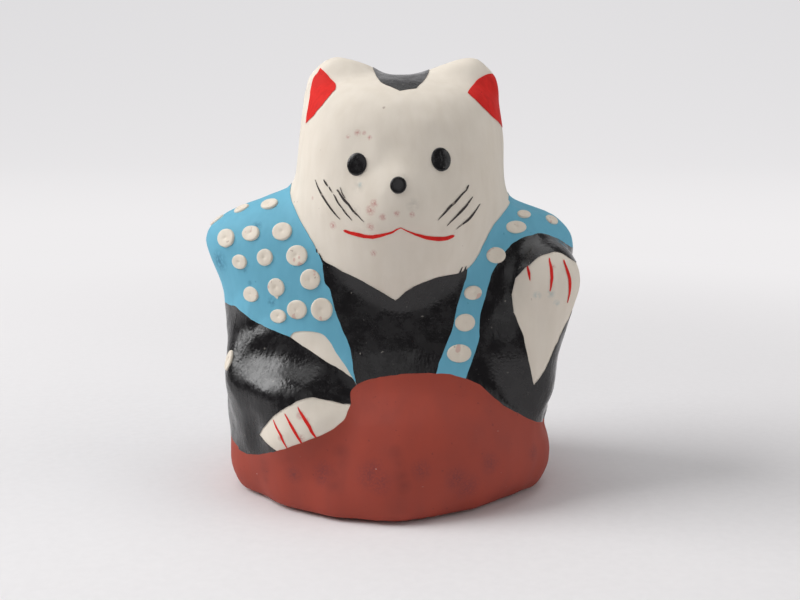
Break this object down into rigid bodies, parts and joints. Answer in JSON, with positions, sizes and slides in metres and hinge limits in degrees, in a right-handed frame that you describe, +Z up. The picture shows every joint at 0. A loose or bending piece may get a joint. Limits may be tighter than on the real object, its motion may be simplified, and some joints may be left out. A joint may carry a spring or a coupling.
{
  "type": "lucky cat figurine",
  "caption": "Small seated lucky cat of hollow pressed clay with one paw raised, painted as a figure in a dotted vest, black sleeves and a red-brown skirted robe.",
  "frame": {"origin": "On the resting plane, under the middle of the figure's outline.", "axes": "+Z up; the cat faces -Y; +X is the viewer's right and the side of the raised paw."},
  "size_m": [0.0433, 0.0332, 0.05],
  "materials": {
    "white_ground": "matte warm ivory white ground over fired clay",
    "bare_clay": "unglazed fired clay",
    "slip_clay": "fired clay slip",
    "red_brown_paint": "matte red-brown brushed paint, mottled",
    "black_paint": "semi-gloss black brushed paint",
    "blue_paint": "matte sky-blue brushed paint",
    "red_paint": "satin vermilion red brushed paint",
    "dot_paint": "thick raised ivory paint"
  },
  "bodies": {
    "root": {"back_half": "white_ground", "base_plug": "bare_clay", "chest_coat": "black_paint", "crown_coat": "black_paint", "front_half": "white_ground", "hakama_coat": "red_brown_paint", "left_ear_coat": "red_paint", "left_eye": "black_paint", "left_whisker_1": "black_paint", "left_whisker_2": "black_paint", "left_whisker_3": "black_paint", "lowered_claw_1": "red_paint", "lowered_claw_2": "red_paint", "lowered_claw_3": "red_paint", "lowered_sleeve_coat": "black_paint", "mouth": "red_paint", "nose": "black_paint", "raised_claw_1": "red_paint", "raised_claw_2": "red_paint", "raised_claw_3": "red_paint", "raised_sleeve_coat": "black_paint", "right_ear_coat": "red_paint", "right_eye": "black_paint", "right_whisker_1": "black_paint", "right_whisker_2": "black_paint", "right_whisker_3": "black_paint", "seam_slip": "slip_clay", "sleeve_dot": "dot_paint", "vest_back_dot_1": "dot_paint", "vest_back_dot_2": "dot_paint", "vest_back_dot_3": "dot_paint", "vest_back_dot_4": "dot_paint", "vest_back_dot_5": "dot_paint", "vest_back_dot_6": "dot_paint", "vest_back_dot_7": "dot_paint", "vest_back_dot_8": "dot_paint", "vest_back_dot_9": "dot_paint", "vest_coat": "blue_paint", "vest_front_dot_01": "dot_paint", "vest_front_dot_02": "dot_paint", "vest_front_dot_03": "dot_paint", "vest_front_dot_04": "dot_paint", "vest_front_dot_05": "dot_paint", "vest_front_dot_06": "dot_paint", "vest_front_dot_07": "dot_paint", "vest_front_dot_08": "dot_paint", "vest_front_dot_09": "dot_paint", "vest_front_dot_10": "dot_paint", "vest_front_dot_11": "dot_paint", "vest_front_dot_12": "dot_paint", "vest_front_dot_13": "dot_paint", "vest_front_dot_14": "dot_paint", "vest_front_dot_15": "dot_paint", "vest_front_dot_16": "dot_paint", "vest_front_dot_17": "dot_paint", "vest_front_dot_18": "dot_paint", "vest_front_dot_19": "dot_paint", "vest_front_dot_20": "dot_paint", "vest_front_dot_21": "dot_paint"}
  },
  "joints": []
}
